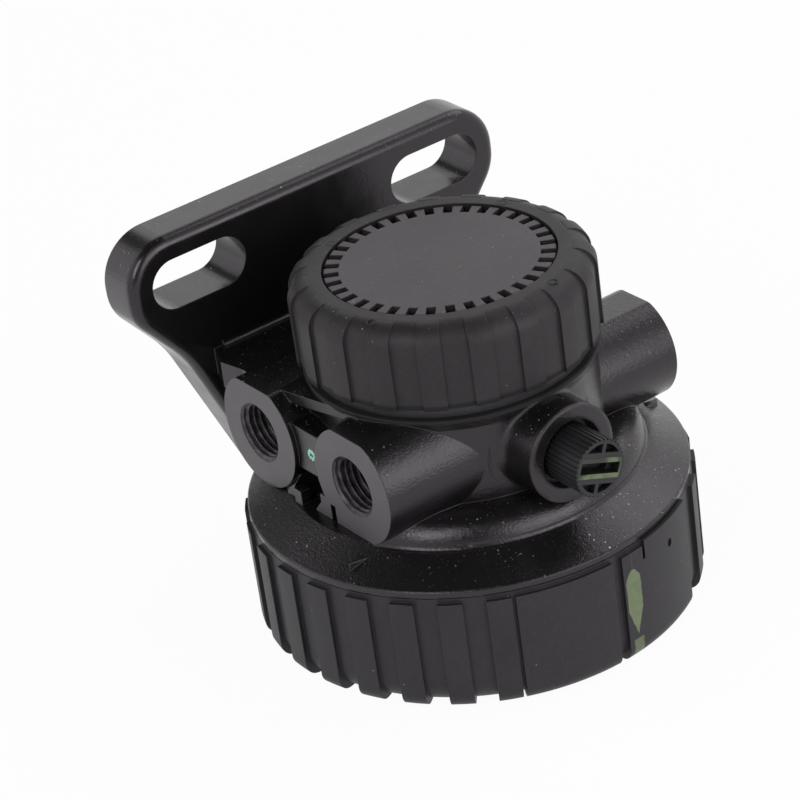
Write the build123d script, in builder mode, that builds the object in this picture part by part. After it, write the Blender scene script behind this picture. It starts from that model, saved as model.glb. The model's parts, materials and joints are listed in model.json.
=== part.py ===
from build123d import *
import os

os.makedirs("parts", exist_ok=True)

# Fuel priming pump: the head of a diesel filter with a hand primer on top.
# Frame: +Z up, origin on the pump axis at the foot of the locking collar. The bracket plate
# stands behind (+Y), two ports face left (-X), one faces right (+X) and the vent screw faces
# the front (-Y). All sizes are in millimetres.

# Fits
run_gap = 0.06  # radial gap of parts that turn or slide on each other
seat_gap = 0.05  # radial gap of fixed parts in their bores
ring_gap = 0.1  # gap beside a wire ring in its groove
lift_gap = 0.2  # gap between faces that turn over each other
seal_gap = 0.03  # between a seal and the wall it runs on

# Flange, dome and neck of the casting
flange_r = 50.0
flange_z = 30.0  # top edge of the flange rim
rim_t = 1.6
rim_edge = 0.3
cone_r = 40.5
cone_rise = 4.8
dome_round = 6.3
dome_crown_in = 1.7
dome_crown_up = 4.0
dome_foot = 0.9  # of the fillet at the foot of the dome
dome_foot_round = 1.2
neck_r = 32.0
neck_lip = 1.0
neck_lip_h = 3.0  # the neck flares out over this height
neck_lip_edge = 0.3
neck_z = 61.8
edge_round = 1.0
arrow_h = 3.2  # top of the flow arrows over the rim
arrow_length = 4.8
arrow_w = 2.4
arrow_left_angle = -160.5
arrow_right_angle = -16.0
arrow_tip_r = 47.4

# Skirt and filter recess under the flange
skirt_wall = 4.4
skirt_foot = 8.0
recess_z = 25.0  # ceiling of the filter recess
spud_boss_r = 11.0
spud_boss_h = 5.0
seal_r = 36.5
seal_w = 3.6
seal_h = 3.6
seal_groove_depth = 2.4

# Bracket plate
plate_front_y = 46.0
plate_t = 12.0
plate_top = 89.6
plate_half_w = 51.4
plate_waist_half_w = 39.6
plate_waist_z = 58.1
plate_shoulder_z = 72.4
plate_foot_half_w = 20.6
plate_foot_z = 13.5
plate_end_round = 11.4
plate_waist_round = 30.0
plate_foot_round = 5.0
plate_edge_round = 2.5
slot_x = 33.25
slot_z = 78.2
slot_length = 25.0
slot_w = 12.0
collar_clearance = 0.8  # between the turning collar and the plate

# Block between neck and plate
shelf_z = 58.6
block_sink = 0.2  # of the foot of the block, over the foot of the flange rim
block_left_x = 30.5
block_rear_x = 26.0
shelf_round = 1.5  # of the fillet between shelf and plate
block_right_x = 33.0
block_foot_x = 28.8
block_front_y = 18.0
lip_z = 52.0  # lower edge of the lip beside the rear port
lip_x = 35.5
lip_y = 39.7
rail_x = 34.2  # left wall of the shelf, that leads up to the rim of the neck
rail_rear_y = 20.2
rail_front_y = -8.0
rail_lean = 2.2
rail_h = 2.6
rail_depth = 9.0

# Ports, M14 x 1.5
thread_r = 7.0  # at the roots of the internal thread
thread_depth = 13.0
port_z = 47.0
rear_port_y = 24.5
front_port_y = -10.5
right_port_y = -9.6
left_face_x = -37.5
right_face_x = 45.0
boss_r = 13.4
right_boss_r = 12.65
boss_flat_round = 3.0
boss_flat_lift = 0.15  # of the other two flats over the shelf
front_flat_z = 59.3  # at the face of the front port
front_flat_rise = 5.2  # up to the inner end of its boss
front_boss_length = 25.5
front_boss_flare = 2.4
mouth_chamfer = 0.2
drill_r = 2.2

# Web and pockets between the left ports, and the foot of the front one
web_sink = 1.2
web_depth = 11.0
web_z = 48.2
web_h = 10.6
pocket_x = 30.0
pocket_front_y = 3.0
pocket_rear_y = 13.2
pocket_top_z = 43.6
foot_top_y = 1.0
foot_top_z = 40.0
foot_rear_y = 11.0
foot_slot_y = -1.5
foot_slot_z = 36.2
foot_slot_w = 1.8
foot_slot_h = 5.0
foot_slot_depth = 1.6
post_x = 38.6
post_y = 10.5
post_w = 2.6
post_h = 3.6

# Vent boss
vent_z = 50.0
vent_boss_r = 11.2
vent_face_y = -40.0
vent_root_round = 3.0  # of the flare at its root
vent_root_y = -29.0
vent_recess_r = 7.9
vent_recess_depth = 4.0
vent_bore_r = 4.0
vent_bore_end_y = -27.0
vent_hole_r = 1.5
vent_hole_y = -24.0
vent_front_y = -49.2
vent_knob_length = 11.7
vent_knob_r = 6.6
vent_rib = 0.3
vent_rib_w = 0.6
vent_rib_count = 36
vent_window_r = 5.6
vent_window_depth = 2.0
vent_spoke = 0.9
vent_bar = 1.2  # between the head of the screw and the windows
vent_head_r = 5.9
vent_head_w = 4.6
vent_head_t = 2.5
vent_slot_w = 2.5
vent_slot_length = 10.8
vent_slot_depth = 4.2
vent_twist = 21.0  # of the screw slot, clockwise from level
vent_stem_r = 3.95
vent_tip_y = -27.2
vent_groove_y = -34.0
vent_groove_w = 1.5
vent_groove_r = 2.85
vent_seal_wire_r = 0.52

# Pump barrel, valves and piston
pump_bore_r = 20.0
pump_bore_z = 44.0
gallery_r = 15.5
gallery_z = 39.5
gallery_wall = 2.0
inlet_hole = 9.3  # of the passage from the rear port, from each axis
return_hole_x = 7.8
return_hole_y = 10.8
valve_plate_t = 3.0
valve_x = 8.0
valve_r = 5.5
valve_t = 1.2
valve_rim_t = 0.5
valve_stem_r = 1.2
valve_bulb_r = 2.0
valve_bulb_h = 1.3
valve_port_count = 6
valve_port_r = 1.0
valve_port_ring_r = 3.4
seal_wire_r = 0.75
groove_w = 2.0
barrel_groove_z = 52.0
barrel_wall = 2.95
barrel_flange_r = 31.2
barrel_flange_t = 2.6
tower_z = 73.0
lug_reach = 2.6
lug_h = 3.0
lug_angle = 40.0
lug_drop = 0.5  # below the top of the tower
lug_count = 3
screw_count = 3
screw_ring_r = 27.2
screw_first_angle = 90.0
screw_r = 2.0
screw_head_r = 3.8
screw_depth = 6.5
screw_cross = 4.0
screw_cross_w = 0.8
screw_cross_depth = 1.2
stem_r = 8.0
wiper_r = 10.5
wiper_h = 2.0
wiper_lip_t = 0.8
journal_r = 6.5
piston_h = 6.0
piston_rest_gap = 1.5  # over the valve plate
primer_stroke = 13.0
stroke_gap = 0.5  # left over the piston at the top of its stroke

# Primer knob
knob_r = 33.3
knob_bar = 0.7
knob_bar_count = 19
knob_bar_angle = 8.8
knob_bar_first = -113.6
knob_z = 64.9
knob_top = 83.8
knob_shoulder = 5.0
knob_wall = 3.1
knob_roof = 3.4
sleeve_inner_r = 23.6
sleeve_wall = 3.0
sleeve_z = 66.0
knob_lug_h = 2.5
lug_clearance = 0.45
floor_z = 74.0
floor_t = 3.0
well_r = 25.1
cover_r = 25.5
cover_gap = 0.4
cover_t = 2.2
cover_sink = 0.3
cover_slots = 36
cover_slot_w = 2.1
cover_slot_length = 3.4  # open at the rim
cover_slot_first = -2.2
cover_round = 0.4
washer_r = 11.0
washer_t = 1.2
knob_screw_r = 3.0
knob_screw_length = 12.0
knob_screw_head_r = 5.2
knob_screw_head_h = 2.7
knob_socket_r = 2.3
knob_socket_depth = 1.5

# Locking collar
collar_wall = 4.0
collar_bar = 1.0
collar_bar_pitch = 12.0
collar_bar_angle = 6.1
collar_bar_first = -49.0
collar_bar_count = 25
collar_bar_drop = 1.0
collar_foot_round = 6.0
collar_bar_foot_round = 3.5
collar_lip_r = 42.5
collar_lip_h = 4.0
collar_gap_count = 3
collar_gap_angle = 36.0
wire_r = 0.8
wire_z = 18.0
wire_depth = 1.05  # of the groove in the skirt
wire_split_angle = 4.0
collar_groove_depth = 1.2
collar_gap_first = 30.0
panel_a_middle = -104.0
panel_a_angle = 26.0
panel_b_start = -88.1
panel_b_end = -60.0
slit_start = -81.1  # between the tab and the rest of the panel
slit_angle = 0.9
slit_z = 23.8
mark_angle = -69.9  # of the oval recess on the panel
mark_z = 22.5
mark_w = 1.6
mark_h = 2.0
mark_depth = 0.6

# Centre tube that the canister plugs on
spud_r = 8.0
spud_bore_r = 5.5
spud_foot = 10.0
spud_seat_h = 9.5
spud_flange_r = 9.6
spud_flange_t = 1.6
spud_groove_z = 13.5
spud_groove_depth = 1.1
spud_seal_wire_r = 0.8
clean_z = 34.0

# Derived sizes and levels
collar_r = flange_r
collar_bore_r = collar_r - collar_wall
skirt_r = collar_bore_r - run_gap
cone_top = flange_z + cone_rise
block_z = flange_z - rim_t + block_sink
collar_top = flange_z - rim_t - lift_gap
bar_top = collar_top - collar_bar_drop
bar_r = collar_r + collar_bar
neck_foot_z = cone_top + dome_round - edge_round / 2
valve_plate_top = pump_bore_z + valve_plate_t
barrel_r = pump_bore_r - seat_gap
barrel_groove_r = pump_bore_r - 2 * (seal_gap + seal_wire_r)
barrel_bore_r = barrel_r - barrel_wall
piston_r = barrel_bore_r - run_gap
piston_groove_r = barrel_bore_r - 2 * (seal_gap + seal_wire_r)
piston_z = valve_plate_top + piston_rest_gap
cap_foot_z = piston_z + piston_h + primer_stroke + stroke_gap
barrel_flange_z = neck_z + barrel_flange_t
floor_top = floor_z + floor_t
cover_top = knob_top - cover_sink
cover_seat = cover_top - cover_t
plate_back_y = plate_front_y + plate_t
plate_middle_y = plate_front_y + plate_t / 2
washer_z = floor_top + ring_gap
vent_seal_r = vent_bore_r - seal_gap - vent_seal_wire_r
boss_foot_z = recess_z - spud_boss_h
vent_front = Plane(
    origin=(0, vent_front_y, vent_z),
    x_dir=Vector(1, 0, 0).rotate(Axis.Y, vent_twist),
    z_dir=(0, -1, 0),
)


standing = (Align.CENTER, Align.CENTER, Align.MIN)


def ring_sector(plane, start, end, inner, outer):
    """A sector of a flat ring between two azimuths in degrees, drawn on the plane."""
    with BuildSketch(plane) as sector:
        with BuildLine():
            far = CenterArc((0, 0), outer, start, end - start)
            near = CenterArc((0, 0), inner, start, end - start)
            Line(far @ 0, near @ 0)
            Line(far @ 1, near @ 1)
        make_face()
    return sector.sketch


def turned(*points):
    """The half section of a turned piece, as pairs of radius and height."""
    with BuildSketch(Plane.XZ) as half:
        with BuildLine():
            Polyline(*points, close=True)
        make_face()
    return half.sketch


def ring_section(radius, height, wire):
    """The round section of a ring, at its middle radius and height."""
    with BuildSketch(Plane.XZ) as half:
        with Locations((radius, height)):
            Circle(wire)
    return half.sketch


def umbrella_section(x, seat, side):
    """Half section of an umbrella valve: a disc on its seat, a stem and a bulb behind the plate."""
    with BuildSketch(Plane(origin=(x, 0, seat), x_dir=(1, 0, 0), z_dir=(0, -side, 0))) as half:
        with BuildLine():
            Polyline(
                (0, valve_t),
                (valve_bulb_r, valve_t),
                (valve_r, valve_rim_t),
                (valve_r, 0),
                (valve_stem_r, 0),
                (valve_stem_r, -valve_plate_t),
                (valve_bulb_r, -valve_plate_t),
                (valve_stem_r, -valve_plate_t - valve_bulb_h),
                (0, -valve_plate_t - valve_bulb_h),
                close=True,
            )
        make_face()
    return half.sketch


def knob_bar_section(azimuth):
    """Section of a grip bar of the knob, from its foot over its shoulder to the top face."""
    outer = knob_r + knob_bar
    with BuildSketch(Plane.XZ.rotated((0, 0, azimuth))) as half:
        with BuildLine():
            Polyline(
                (outer - knob_shoulder, knob_top),
                (knob_r - knob_wall / 2, knob_top - knob_shoulder),
                (knob_r - knob_wall / 2, knob_z),
                (outer, knob_z),
                (outer, knob_top - knob_shoulder),
            )
            RadiusArc(
                (outer, knob_top - knob_shoulder), (outer - knob_shoulder, knob_top), -knob_shoulder
            )
        make_face()
    return half.sketch


def collar_bar_section(azimuth, top):
    """Section of a grip bar of the collar, with its rounded foot."""
    outer = collar_r + collar_bar
    inner = collar_r - 2 * collar_bar
    with BuildSketch(Plane.XZ.rotated((0, 0, azimuth))) as half:
        with BuildLine():
            Polyline(
                (outer - collar_bar_foot_round, 0),
                (collar_r - collar_foot_round, 0),
                (inner, collar_bar_foot_round),
                (inner, top),
                (outer, top),
                (outer, collar_bar_foot_round),
            )
            RadiusArc(
                (outer, collar_bar_foot_round), (outer - collar_bar_foot_round, 0), collar_bar_foot_round
            )
        make_face()
    return half.sketch


def collar_bar_at(middle, angle, top):
    """Adds one grip bar or panel to the collar, round the azimuth of its middle."""
    revolve(collar_bar_section(middle - angle / 2, top), axis=Axis.Z, revolution_arc=angle)


def boss_section(face_x, y, radius):
    """Section of a port boss: a circle with a flat top that runs over into it."""
    with BuildSketch(Plane.YZ.offset(face_x)) as section:
        with Locations((y, port_z)):
            Circle(radius)
        with Locations((y, shelf_z + boss_flat_lift + radius)):
            Rectangle(2 * radius, 2 * radius, mode=Mode.SUBTRACT)
        fillet(section.vertices().group_by(Axis.Y)[-1], boss_flat_round)
    return section.sketch


def drill(start, end, radius):
    """Cuts a straight drilled passage from one point to another."""
    path = Vector(*end) - Vector(*start)
    with Locations(Plane(origin=start, z_dir=path)):
        Cylinder(radius, path.length, align=standing, mode=Mode.SUBTRACT)


# Head casting
with BuildPart() as head_casting:
    # Boss of the front left port: a cone that flares up to the rim of the neck, with a flat top
    flare = Vector(front_boss_length, -front_boss_flare, front_boss_flare)
    with Locations(Plane(origin=(left_face_x, front_port_y, port_z), z_dir=flare)):
        Cone(boss_r, boss_r + front_boss_flare, flare.length, align=standing)
        Cylinder(boss_r, front_boss_flare, align=(Align.CENTER, Align.CENTER, Align.MAX))
    split(bisect_by=Plane.YZ.offset(left_face_x), keep=Keep.TOP)
    split(
        bisect_by=Plane(
            origin=(left_face_x, 0, front_flat_z),
            z_dir=(-front_flat_rise, 0, front_boss_length),
        ),
        keep=Keep.BOTTOM,
    )
    front_flat = head_casting.faces().filter_by(GeomType.PLANE).sort_by(Axis.Z)[-1]
    fillet(front_flat.edges().filter_by(GeomType.ELLIPSE), boss_flat_round)

    # Bracket plate: rounded ends round the slots, a waist, and a foot behind the collar
    with BuildSketch(Plane.XZ.offset(-plate_back_y)):
        with BuildLine():
            FilletPolyline(
                (-plate_half_w, plate_top),
                (plate_half_w, plate_top),
                (plate_half_w, plate_shoulder_z),
                (plate_waist_half_w, plate_waist_z),
                (plate_foot_half_w, plate_foot_z),
                (-plate_foot_half_w, plate_foot_z),
                (-plate_waist_half_w, plate_waist_z),
                (-plate_half_w, plate_shoulder_z),
                radius=[
                    plate_end_round,
                    plate_end_round,
                    plate_end_round,
                    plate_waist_round,
                    plate_foot_round,
                    plate_foot_round,
                    plate_waist_round,
                    plate_end_round,
                ],
                close=True,
            )
        make_face()
    extrude(amount=plate_t)
    fillet(faces(Select.LAST).sort_by(Axis.Y)[0].edges(), plate_edge_round)
    chamfer(faces().sort_by(Axis.Y)[-1].edges(), edge_round)
    with BuildSketch(Plane.XZ.offset(-plate_back_y)):
        with Locations((-slot_x, slot_z), (slot_x, slot_z)):
            SlotOverall(slot_length, slot_w)
    extrude(amount=plate_t, mode=Mode.SUBTRACT)
    # Scoop that the collar turns in
    with BuildSketch():
        Circle(bar_r + collar_clearance)
    extrude(amount=block_z, mode=Mode.SUBTRACT)

    # Dome on the flange, cut flat in the plane of the left ports and hollowed between them
    with BuildSketch(Plane.XZ):
        with BuildLine():
            Polyline(
                (0, neck_foot_z),
                (0, flange_z),
                (cone_r + dome_foot, flange_z),
                (cone_r + dome_foot, cone_top - dome_foot * cone_rise / (flange_r - cone_r)),
            )
            RadiusArc(
                (cone_r + dome_foot, cone_top - dome_foot * cone_rise / (flange_r - cone_r)),
                (cone_r, cone_top + dome_foot),
                dome_foot_round,
            )
            ThreePointArc(
                (cone_r, cone_top + dome_foot),
                (cone_r - dome_crown_in, cone_top + dome_crown_up),
                (cone_r - dome_round, neck_foot_z),
            )
            Line((cone_r - dome_round, neck_foot_z), (0, neck_foot_z))
        make_face()
    revolve(axis=Axis.Z)
    with BuildSketch(Plane.YZ.offset(left_face_x)):
        with Locations((0, flange_z)):
            Rectangle(cone_r, cone_r, align=(Align.CENTER, Align.MIN))
    extrude(amount=-cone_r, mode=Mode.SUBTRACT)
    with BuildSketch(Plane.YZ.offset(left_face_x)):
        with BuildLine():
            Polyline(
                (pocket_front_y, flange_z),
                (pocket_rear_y, flange_z),
                (pocket_rear_y, pocket_top_z),
                (pocket_front_y, pocket_top_z),
                close=True,
            )
        make_face()
    extrude(amount=-left_face_x - pocket_x, mode=Mode.SUBTRACT)

    # Flange with its cone, and the neck, which flares out a little at its rim
    revolve(
        turned(
            (0, neck_z),
            (0, skirt_foot),
            (skirt_r, skirt_foot),
            (skirt_r, flange_z - rim_t),
            (flange_r, flange_z - rim_t),
            (flange_r, flange_z - rim_edge),
            (flange_r - rim_edge, flange_z),
            (cone_r, cone_top),
            (neck_r, cone_top),
            (neck_r, neck_z - neck_lip_h),
            (neck_r + neck_lip, neck_z - neck_lip_edge),
            (neck_r + neck_lip - neck_lip_edge, neck_z),
        ),
        axis=Axis.Z,
    )

    # Block between neck and plate, whose top is the shelf
    with BuildSketch(Plane.XY.offset(block_z)):
        with BuildLine():
            Polyline(
                (-block_rear_x, plate_middle_y),
                (-block_rear_x, plate_front_y),
                (-block_left_x, lip_y - boss_r / 2),
                (-block_left_x, 0),
                (block_foot_x, 0),
                (block_right_x, block_front_y),
                (block_right_x, plate_front_y - plate_t / 2),
                (block_rear_x, plate_middle_y),
                close=True,
            )
        make_face()
    extrude(amount=shelf_z - block_z)
    with BuildSketch(Plane.YZ.offset(-block_left_x)):
        with BuildLine():
            Polyline(
                (plate_front_y - shelf_round, shelf_z),
                (plate_front_y + shelf_round, shelf_z),
                (plate_front_y + shelf_round, shelf_z + shelf_round),
                (plate_front_y, shelf_z + shelf_round),
            )
            RadiusArc(
                (plate_front_y, shelf_z + shelf_round),
                (plate_front_y - shelf_round, shelf_z),
                shelf_round,
            )
        make_face()
    extrude(amount=2 * block_left_x)
    # Lip of the shelf beside the rear port
    with BuildSketch(Plane.XY.offset(lip_z)):
        with BuildLine():
            Polyline(
                (-block_left_x, plate_middle_y),
                (-lip_x, lip_y),
                (-rail_x, lip_y - boss_r / 2),
                (-rail_x, rail_rear_y),
                (-pump_bore_r, rail_rear_y),
                (-pump_bore_r, plate_middle_y),
                close=True,
            )
        make_face()
    extrude(amount=shelf_z - lip_z)
    # Rail from the corner of the shelf up to the rim of the neck
    rail = Vector(rail_lean, rail_front_y - rail_rear_y, 0)
    with BuildSketch(
        Plane(
            origin=(-rail_x, rail_rear_y, shelf_z),
            x_dir=rail,
            z_dir=(rail_front_y - rail_rear_y, -rail_lean, 0),
        )
    ):
        with BuildLine():
            Polyline(
                (0, 0),
                (rail.length, neck_z - shelf_z),
                (rail.length, neck_z - shelf_z - rail_h),
                (0, -rail_h),
                close=True,
            )
        make_face()
    extrude(amount=-rail_depth)

    # Bosses of the other two ports, with flat tops level with the shelf
    extrude(
        boss_section(left_face_x, rear_port_y, boss_r),
        amount=-left_face_x - pump_bore_r,
    )
    extrude(
        boss_section(right_face_x, right_port_y, right_boss_r),
        amount=pump_bore_r - right_face_x,
    )

    # Web between the left ports
    with BuildSketch(Plane.YZ.offset(left_face_x + web_sink)):
        with Locations(((rear_port_y + front_port_y) / 2, web_z)):
            Rectangle(rear_port_y - front_port_y - boss_r, web_h)
    extrude(amount=web_depth)
    # Foot under the front left port, with a slot in its face, and a post under the rear one
    with BuildSketch(Plane.YZ.offset(left_face_x)):
        with BuildLine():
            Polyline(
                (front_port_y, block_z),
                (foot_rear_y, block_z),
                (foot_top_y, foot_top_z),
                (front_port_y, foot_top_z),
                close=True,
            )
        make_face()
    extrude(amount=web_depth)
    with BuildSketch(Plane.YZ.offset(left_face_x)):
        with Locations((foot_slot_y, foot_slot_z)):
            Rectangle(foot_slot_w, foot_slot_h)
    extrude(amount=foot_slot_depth, mode=Mode.SUBTRACT)
    with BuildSketch(Plane.YZ.offset(-post_x)):
        with Locations((post_y, cone_top - block_sink)):
            Rectangle(post_w, post_h, align=(Align.CENTER, Align.MIN))
    extrude(amount=post_w)

    # Flow arrows on the cone, beside the front ports
    for angle, side in ((arrow_left_angle, -1), (arrow_right_angle, 1)):
        tip = Vector(arrow_tip_r, 0).rotate(Axis.Z, angle)
        with BuildSketch(Plane(origin=(tip.X, tip.Y, flange_z), x_dir=(side, 0, 0), z_dir=(0, 0, 1))):
            with BuildLine():
                Polyline((0, 0), (-arrow_length, arrow_w / 2), (-arrow_length, -arrow_w / 2), close=True)
            make_face()
        extrude(amount=arrow_h)

    # Vent boss, flared at its root on the neck
    with BuildSketch(Plane.YZ):
        with BuildLine():
            Polyline(
                (vent_root_y - vent_root_round, vent_z + vent_boss_r),
                (vent_face_y, vent_z + vent_boss_r),
                (vent_face_y, vent_z),
                (-pump_bore_r, vent_z),
                (-pump_bore_r, vent_z + vent_boss_r),
                (vent_root_y + edge_round, vent_z + vent_boss_r + vent_root_round),
                (vent_root_y, vent_z + vent_boss_r + vent_root_round),
            )
            RadiusArc(
                (vent_root_y, vent_z + vent_boss_r + vent_root_round),
                (vent_root_y - vent_root_round, vent_z + vent_boss_r),
                vent_root_round,
            )
        make_face()
    revolve(axis=Axis((0, 0, vent_z), (0, 1, 0)))
    with Locations((0, 0, neck_z)):
        Cylinder(-vent_face_y, vent_root_round, align=standing, mode=Mode.SUBTRACT)

    # Filter recess, with its seal groove and centre boss
    with BuildSketch(Plane.XZ):
        with BuildLine():
            Polyline(
                (spud_boss_r, recess_z - spud_boss_h),
                (spud_boss_r, recess_z),
                (seal_r - seal_w / 2 - ring_gap, recess_z),
                (seal_r - seal_w / 2 - ring_gap, recess_z + seal_groove_depth),
                (seal_r + seal_w / 2 + ring_gap, recess_z + seal_groove_depth),
                (seal_r + seal_w / 2 + ring_gap, recess_z),
                (skirt_r - skirt_wall, recess_z),
                (skirt_r - skirt_wall, skirt_foot),
                (0, skirt_foot),
                (0, recess_z - spud_boss_h),
                close=True,
            )
        make_face()
    revolve(axis=Axis.Z, mode=Mode.SUBTRACT)

    # Groove for the wire ring in the skirt
    with BuildSketch(Plane.XZ):
        with Locations((skirt_r, wire_z)):
            Rectangle(2 * wire_depth, 2 * (wire_r + ring_gap))
    revolve(axis=Axis.Z, mode=Mode.SUBTRACT)

    # Bore of the centre tube and the clean chamber over it
    with Locations((0, 0, recess_z - spud_boss_h)):
        Cylinder(spud_r + seat_gap, spud_seat_h, align=standing, mode=Mode.SUBTRACT)
        Cylinder(spud_bore_r, clean_z - recess_z + spud_boss_h, align=standing, mode=Mode.SUBTRACT)

    # Pump bore, and two galleries under it with a wall between them
    with Locations((0, 0, pump_bore_z)):
        Cylinder(pump_bore_r, neck_z - pump_bore_z, align=standing, mode=Mode.SUBTRACT)
    for start in (90, -90):
        with BuildSketch(Plane.XY.offset(gallery_z)) as gallery:
            Circle(gallery_r)
            Rectangle(gallery_wall, 2 * gallery_r, mode=Mode.SUBTRACT)
            with Locations((gallery_r * (1 if start > 0 else -1), 0)):
                Rectangle(2 * gallery_r, 2 * gallery_r, mode=Mode.SUBTRACT)
        extrude(amount=pump_bore_z - gallery_z, mode=Mode.SUBTRACT)
    with PolarLocations(screw_ring_r, screw_count, start_angle=screw_first_angle):
        with Locations((0, 0, neck_z)):
            Hole(screw_r, screw_depth)

    # Ports and the passages drilled behind them
    for face_x, y, outward in (
        (left_face_x, rear_port_y, -1),
        (left_face_x, front_port_y, -1),
        (right_face_x, right_port_y, 1),
    ):
        with Locations(Plane(origin=(face_x, y, port_z), z_dir=(outward, 0, 0))):
            CounterSinkHole(thread_r, thread_r + mouth_chamfer, thread_depth, 90)
    drill(
        (left_face_x + thread_depth - drill_r / 2, rear_port_y, port_z - thread_r + drill_r),
        (-inlet_hole, inlet_hole, gallery_z + drill_r),
        drill_r,
    )
    drill(
        (right_face_x - thread_depth + drill_r / 2, right_port_y, port_z - thread_r + drill_r / 2),
        (drill_r, 0, clean_z - drill_r / 2),
        drill_r,
    )
    drill(
        (left_face_x + thread_depth - drill_r, front_port_y, port_z),
        (left_face_x + thread_depth - drill_r, front_port_y, recess_z - drill_r),
        drill_r,
    )
    drill(
        (return_hole_x, return_hole_y, gallery_z + drill_r / 2),
        (return_hole_x, return_hole_y, recess_z - drill_r / 2),
        drill_r,
    )

    # Vent recess, screw bore and the passage down to the filter recess
    with Locations(Plane(origin=(0, vent_face_y, vent_z), z_dir=(0, -1, 0))):
        CounterBoreHole(vent_bore_r, vent_recess_r, vent_recess_depth, vent_bore_end_y - vent_face_y)
    drill((0, vent_bore_end_y - 1, vent_z), (0, vent_hole_y + vent_hole_r, vent_z), vent_hole_r)
    drill((0, vent_hole_y, vent_z + vent_hole_r), (0, vent_hole_y, recess_z - 1), vent_hole_r)

head_casting.part.label = "head_casting"
export_step(head_casting.part, "parts/head_casting.step")


# Plate in the bottom of the pump bore, which carries the two valves
with BuildPart() as valve_plate:
    with Locations((0, 0, pump_bore_z)):
        Cylinder(barrel_r, valve_plate_t, align=standing)
    with Locations((-valve_x, 0, valve_plate_top), (valve_x, 0, valve_plate_top)):
        Hole(valve_stem_r + seat_gap)
        with PolarLocations(valve_port_ring_r, valve_port_count):
            Hole(valve_port_r)

valve_plate.part.label = "valve_plate"
export_step(valve_plate.part, "parts/valve_plate.step")


# Inlet valve: its disc lies on top of the plate
with BuildPart() as inlet_valve:
    revolve(
        umbrella_section(-valve_x, valve_plate_top, 1),
        axis=Axis((-valve_x, 0, 0), (0, 0, 1)),
    )

inlet_valve.part.label = "inlet_valve"
export_step(inlet_valve.part, "parts/inlet_valve.step")


# Outlet valve: its disc hangs under the plate
with BuildPart() as outlet_valve:
    revolve(
        umbrella_section(valve_x, pump_bore_z, -1),
        axis=Axis((valve_x, 0, 0), (0, 0, 1)),
    )

outlet_valve.part.label = "outlet_valve"
export_step(outlet_valve.part, "parts/outlet_valve.step")


# Pump barrel: a cylinder in the bore, a screwed flange on the neck and a tower with locking lugs
with BuildPart() as pump_barrel:
    revolve(
        turned(
            (barrel_bore_r, valve_plate_top),
            (barrel_r, valve_plate_top),
            (barrel_r, barrel_groove_z),
            (barrel_groove_r, barrel_groove_z),
            (barrel_groove_r, barrel_groove_z + groove_w),
            (barrel_r, barrel_groove_z + groove_w),
            (barrel_r, neck_z),
            (barrel_flange_r, neck_z),
            (barrel_flange_r, barrel_flange_z),
            (barrel_r, barrel_flange_z),
            (barrel_r, tower_z),
            (barrel_bore_r, tower_z),
        ),
        axis=Axis.Z,
    )
    for k in range(lug_count):
        middle = k * 360 / lug_count
        extrude(
            ring_sector(
                Plane.XY.offset(tower_z - lug_drop - lug_h),
                middle - lug_angle / 2,
                middle + lug_angle / 2,
                barrel_r - barrel_wall / 2,
                barrel_r + lug_reach,
            ),
            amount=lug_h,
        )
    with PolarLocations(screw_ring_r, screw_count, start_angle=screw_first_angle):
        with Locations((0, 0, barrel_flange_z)):
            CounterSinkHole(screw_r + ring_gap, screw_head_r + seat_gap, barrel_flange_t, 90)

pump_barrel.part.label = "pump_barrel"
export_step(pump_barrel.part, "parts/pump_barrel.step")


# Sealing ring of the barrel in the pump bore
with BuildPart() as barrel_seal:
    revolve(
        ring_section(pump_bore_r - seal_gap - seal_wire_r, barrel_groove_z + groove_w / 2, seal_wire_r),
        axis=Axis.Z,
    )

barrel_seal.part.label = "barrel_seal"
export_step(barrel_seal.part, "parts/barrel_seal.step")


# Countersunk screws that hold the barrel, with cross recesses
with BuildPart() as barrel_screws:
    with PolarLocations(screw_ring_r, screw_count, start_angle=screw_first_angle):
        with Locations((0, 0, neck_z - screw_depth + lift_gap)):
            Cylinder(
                screw_r - seat_gap, screw_depth + barrel_flange_t - lift_gap, align=standing
            )
        with Locations((0, 0, barrel_flange_z - screw_head_r + screw_r)):
            Cone(screw_r - seat_gap, screw_head_r - seat_gap, screw_head_r - screw_r, align=standing)
        with Locations((0, 0, barrel_flange_z)):
            Box(screw_cross, screw_cross_w, 2 * screw_cross_depth, mode=Mode.SUBTRACT)
            Box(screw_cross_w, screw_cross, 2 * screw_cross_depth, mode=Mode.SUBTRACT)

barrel_screws.part.label = "barrel_screws"
export_step(barrel_screws.part, "parts/barrel_screws.step")


# Cap that closes the tower and guides the piston rod
with BuildPart() as barrel_cap:
    revolve(
        turned(
            (stem_r + run_gap, cap_foot_z),
            (barrel_bore_r - seat_gap, cap_foot_z),
            (barrel_bore_r - seat_gap, tower_z),
            (wiper_r + seat_gap, tower_z),
            (wiper_r + seat_gap, tower_z - wiper_h),
            (stem_r + run_gap, tower_z - wiper_h),
        ),
        axis=Axis.Z,
    )

barrel_cap.part.label = "barrel_cap"
export_step(barrel_cap.part, "parts/barrel_cap.step")


# Wiper of the piston rod, with a thin lip
with BuildPart() as stem_wiper:
    revolve(
        turned(
            (stem_r + run_gap, tower_z - wiper_lip_t),
            (stem_r + run_gap, tower_z),
            (wiper_r, tower_z),
            (wiper_r, tower_z - wiper_h),
            (stem_r + run_gap + wiper_lip_t, tower_z - wiper_h),
        ),
        axis=Axis.Z,
    )

stem_wiper.part.label = "stem_wiper"
export_step(stem_wiper.part, "parts/stem_wiper.step")


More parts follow.
